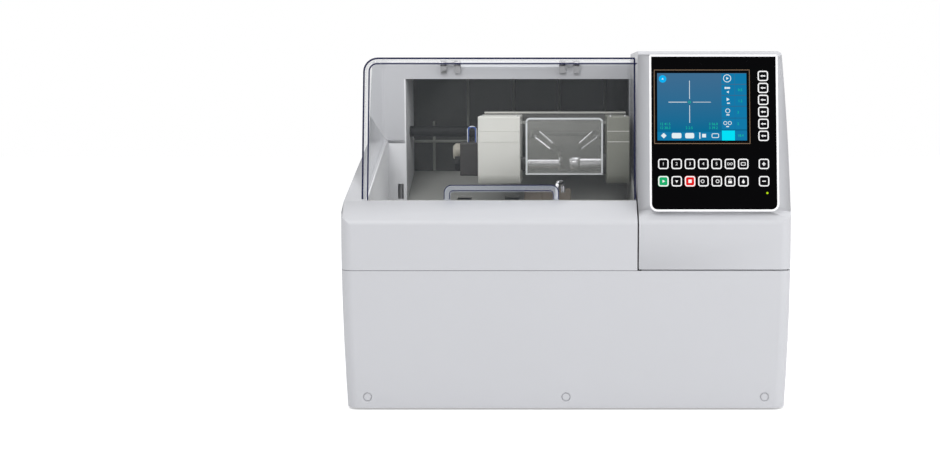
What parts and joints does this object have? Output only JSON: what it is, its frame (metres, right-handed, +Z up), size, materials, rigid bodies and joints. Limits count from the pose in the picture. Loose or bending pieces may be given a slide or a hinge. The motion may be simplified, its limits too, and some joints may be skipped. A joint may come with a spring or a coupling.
{
  "type": "optical lens edger",
  "caption": "Bench machine that grinds spectacle lenses to shape: bowed housing, clear hinged hood over the grinding chamber, tilted key and screen panel at the right.",
  "frame": {"origin": "centre of the overall footprint, level with the bottoms of the feet", "axes": "+X to the operator's right, +Y to the back, +Z up"},
  "size_m": [0.58, 0.484, 0.463],
  "materials": {
    "housing": "fine satin grain, light grey",
    "base_pan": "matt grey coat",
    "feet": "matt",
    "hood": "clear moulding, polished",
    "hood_trim": "clear, polished",
    "overlay": "black printed film",
    "screen": "lit display under a flat clear face",
    "board": "green laminate",
    "tray": "satin, light grey",
    "liner": "satin, dark grey",
    "steel": "ground",
    "chrome": "polished",
    "casting": "satin coat",
    "wheels": "sintered grit",
    "motor": "black coat",
    "arm_cover": "satin, warm light grey",
    "gearbox": "dark brown grey",
    "encoder": "cream",
    "lens_cup": "matt",
    "shield": "clear, polished",
    "cable": "blue and white sleeve",
    "back_panel": "fine texture",
    "connectors": "black",
    "hose_tails": "turned",
    "switch": "black",
    "key_black": "satin, pale border and symbol",
    "key_green": "satin, pale border and symbol",
    "key_red": "satin, pale border and symbol"
  },
  "bodies": {
    "housing": {"base_pan": "base_pan", "feet": "feet", "lower_housing": "housing", "upper_housing": "housing", "console_housing": "housing", "overlay": "overlay", "screen": "screen", "control_board": "board", "drip_tray": "tray", "chamber_liner": "liner", "hinge_mounts": "steel", "spindle_housing": "casting", "main_motor": "motor", "pivot_shaft": "steel", "shaft_uprights": "steel", "coolant_nozzle": "chrome", "back_panel": "back_panel", "rear_connectors": "connectors", "hose_tails": "hose_tails"},
    "hood": {"hood": "hood", "hood_handle": "hood_trim", "hood_hinges": "hood_trim"},
    "grinding_spindle": {"wheel_spindle": "steel", "grinding_wheels": "wheels"},
    "traverse": {"traverse_slide": "steel"},
    "carriage": {"carriage_frame": "casting", "left_arm_cover": "arm_cover", "right_arm_cover": "arm_cover", "chuck_motor": "gearbox", "chuck_encoder": "encoder", "cable_loop": "cable"},
    "left_chuck": {"left_chuck": "chrome", "lens_cup": "lens_cup"},
    "quill": {"clamp_quill": "chrome"},
    "right_chuck": {"right_chuck": "chrome"},
    "shield": {"shield": "shield"},
    "feelers": {"feeler_arms": "chrome"},
    "power_switch": {"power_switch": "switch"},
    "key_upper_1": {"key_upper_1": "key_black"},
    "key_upper_2": {"key_upper_2": "key_black"},
    "key_upper_3": {"key_upper_3": "key_black"},
    "key_upper_4": {"key_upper_4": "key_black"},
    "key_upper_5": {"key_upper_5": "key_black"},
    "key_upper_6": {"key_upper_6": "key_black"},
    "key_upper_7": {"key_upper_7": "key_black"},
    "key_lower_1": {"key_lower_1": "key_green"},
    "key_lower_2": {"key_lower_2": "key_black"},
    "key_lower_3": {"key_lower_3": "key_red"},
    "key_lower_4": {"key_lower_4": "key_black"},
    "key_lower_5": {"key_lower_5": "key_black"},
    "key_lower_6": {"key_lower_6": "key_black"},
    "key_lower_7": {"key_lower_7": "key_black"},
    "key_side_1": {"key_side_1": "key_black"},
    "key_side_2": {"key_side_2": "key_black"},
    "key_side_3": {"key_side_3": "key_black"},
    "key_side_4": {"key_side_4": "key_black"},
    "key_side_5": {"key_side_5": "key_black"},
    "key_side_6": {"key_side_6": "key_black"},
    "key_plus": {"key_plus": "key_black"},
    "key_minus": {"key_minus": "key_black"}
  },
  "joints": [
    {"name": "hood_swing", "type": "hinge", "parent": "housing", "child": "hood", "pos_m": [0, 0.0175, 0.45], "axis": [-1, 0, 0], "range_deg": [0, 70]},
    {"name": "wheel_spin", "type": "hinge", "parent": "housing", "child": "grinding_spindle", "pos_m": [0, -0.06, 0.225], "axis": [1, 0, 0], "continuous": true},
    {"name": "carriage_traverse", "type": "slide", "parent": "housing", "child": "traverse", "axis": [1, 0, 0], "range_m": [-0.044, 0]},
    {"name": "carriage_swing", "type": "hinge", "parent": "traverse", "child": "carriage", "pos_m": [0, 0.075, 0.35], "axis": [1, 0, 0], "range_deg": [0, 9]},
    {"name": "left_chuck_turn", "type": "hinge", "parent": "carriage", "child": "left_chuck", "pos_m": [0, -0.088, 0.311], "axis": [1, 0, 0], "continuous": true},
    {"name": "quill_feed", "type": "slide", "parent": "carriage", "child": "quill", "axis": [1, 0, 0], "range_m": [-0.009, 0.022]},
    {"name": "right_chuck_turn", "type": "hinge", "parent": "quill", "child": "right_chuck", "pos_m": [0, -0.088, 0.311], "axis": [1, 0, 0], "continuous": true},
    {"name": "shield_swing", "type": "hinge", "parent": "carriage", "child": "shield", "pos_m": [0, -0.125, 0.369], "axis": [-1, 0, 0], "range_deg": [0, 55]},
    {"name": "feeler_swing", "type": "hinge", "parent": "carriage", "child": "feelers", "pos_m": [0, -0.04, 0.35], "axis": [-1, 0, 0], "range_deg": [0, 30]},
    {"name": "switch_rock", "type": "hinge", "parent": "housing", "child": "power_switch", "pos_m": [0.15, 0.228, 0.07], "axis": [1, 0, 0], "range_deg": [0, 16]},
    {"name": "key_upper_1_press", "type": "slide", "parent": "housing", "child": "key_upper_1", "axis": [0, 0.9816, -0.1908], "range_m": [0, 0.0005], "stiffness_N_per_m": 300},
    {"name": "key_upper_2_press", "type": "slide", "parent": "housing", "child": "key_upper_2", "axis": [0, 0.9816, -0.1908], "range_m": [0, 0.0005], "stiffness_N_per_m": 300},
    {"name": "key_upper_3_press", "type": "slide", "parent": "housing", "child": "key_upper_3", "axis": [0, 0.9816, -0.1908], "range_m": [0, 0.0005], "stiffness_N_per_m": 300},
    {"name": "key_upper_4_press", "type": "slide", "parent": "housing", "child": "key_upper_4", "axis": [0, 0.9816, -0.1908], "range_m": [0, 0.0005], "stiffness_N_per_m": 300},
    {"name": "key_upper_5_press", "type": "slide", "parent": "housing", "child": "key_upper_5", "axis": [0, 0.9816, -0.1908], "range_m": [0, 0.0005], "stiffness_N_per_m": 300},
    {"name": "key_upper_6_press", "type": "slide", "parent": "housing", "child": "key_upper_6", "axis": [0, 0.9816, -0.1908], "range_m": [0, 0.0005], "stiffness_N_per_m": 300},
    {"name": "key_upper_7_press", "type": "slide", "parent": "housing", "child": "key_upper_7", "axis": [0, 0.9816, -0.1908], "range_m": [0, 0.0005], "stiffness_N_per_m": 300},
    {"name": "key_lower_1_press", "type": "slide", "parent": "housing", "child": "key_lower_1", "axis": [0, 0.9816, -0.1908], "range_m": [0, 0.0005], "stiffness_N_per_m": 300},
    {"name": "key_lower_2_press", "type": "slide", "parent": "housing", "child": "key_lower_2", "axis": [0, 0.9816, -0.1908], "range_m": [0, 0.0005], "stiffness_N_per_m": 300},
    {"name": "key_lower_3_press", "type": "slide", "parent": "housing", "child": "key_lower_3", "axis": [0, 0.9816, -0.1908], "range_m": [0, 0.0005], "stiffness_N_per_m": 300},
    {"name": "key_lower_4_press", "type": "slide", "parent": "housing", "child": "key_lower_4", "axis": [0, 0.9816, -0.1908], "range_m": [0, 0.0005], "stiffness_N_per_m": 300},
    {"name": "key_lower_5_press", "type": "slide", "parent": "housing", "child": "key_lower_5", "axis": [0, 0.9816, -0.1908], "range_m": [0, 0.0005], "stiffness_N_per_m": 300},
    {"name": "key_lower_6_press", "type": "slide", "parent": "housing", "child": "key_lower_6", "axis": [0, 0.9816, -0.1908], "range_m": [0, 0.0005], "stiffness_N_per_m": 300},
    {"name": "key_lower_7_press", "type": "slide", "parent": "housing", "child": "key_lower_7", "axis": [0, 0.9816, -0.1908], "range_m": [0, 0.0005], "stiffness_N_per_m": 300},
    {"name": "key_side_1_press", "type": "slide", "parent": "housing", "child": "key_side_1", "axis": [0, 0.9816, -0.1908], "range_m": [0, 0.0005], "stiffness_N_per_m": 300},
    {"name": "key_side_2_press", "type": "slide", "parent": "housing", "child": "key_side_2", "axis": [0, 0.9816, -0.1908], "range_m": [0, 0.0005], "stiffness_N_per_m": 300},
    {"name": "key_side_3_press", "type": "slide", "parent": "housing", "child": "key_side_3", "axis": [0, 0.9816, -0.1908], "range_m": [0, 0.0005], "stiffness_N_per_m": 300},
    {"name": "key_side_4_press", "type": "slide", "parent": "housing", "child": "key_side_4", "axis": [0, 0.9816, -0.1908], "range_m": [0, 0.0005], "stiffness_N_per_m": 300},
    {"name": "key_side_5_press", "type": "slide", "parent": "housing", "child": "key_side_5", "axis": [0, 0.9816, -0.1908], "range_m": [0, 0.0005], "stiffness_N_per_m": 300},
    {"name": "key_side_6_press", "type": "slide", "parent": "housing", "child": "key_side_6", "axis": [0, 0.9816, -0.1908], "range_m": [0, 0.0005], "stiffness_N_per_m": 300},
    {"name": "key_plus_press", "type": "slide", "parent": "housing", "child": "key_plus", "axis": [0, 0.9816, -0.1908], "range_m": [0, 0.0005], "stiffness_N_per_m": 300},
    {"name": "key_minus_press", "type": "slide", "parent": "housing", "child": "key_minus", "axis": [0, 0.9816, -0.1908], "range_m": [0, 0.0005], "stiffness_N_per_m": 300}
  ],
  "couplings": [
    {"joint": "right_chuck_turn", "follows": "left_chuck_turn", "ratio": 1}
  ]
}
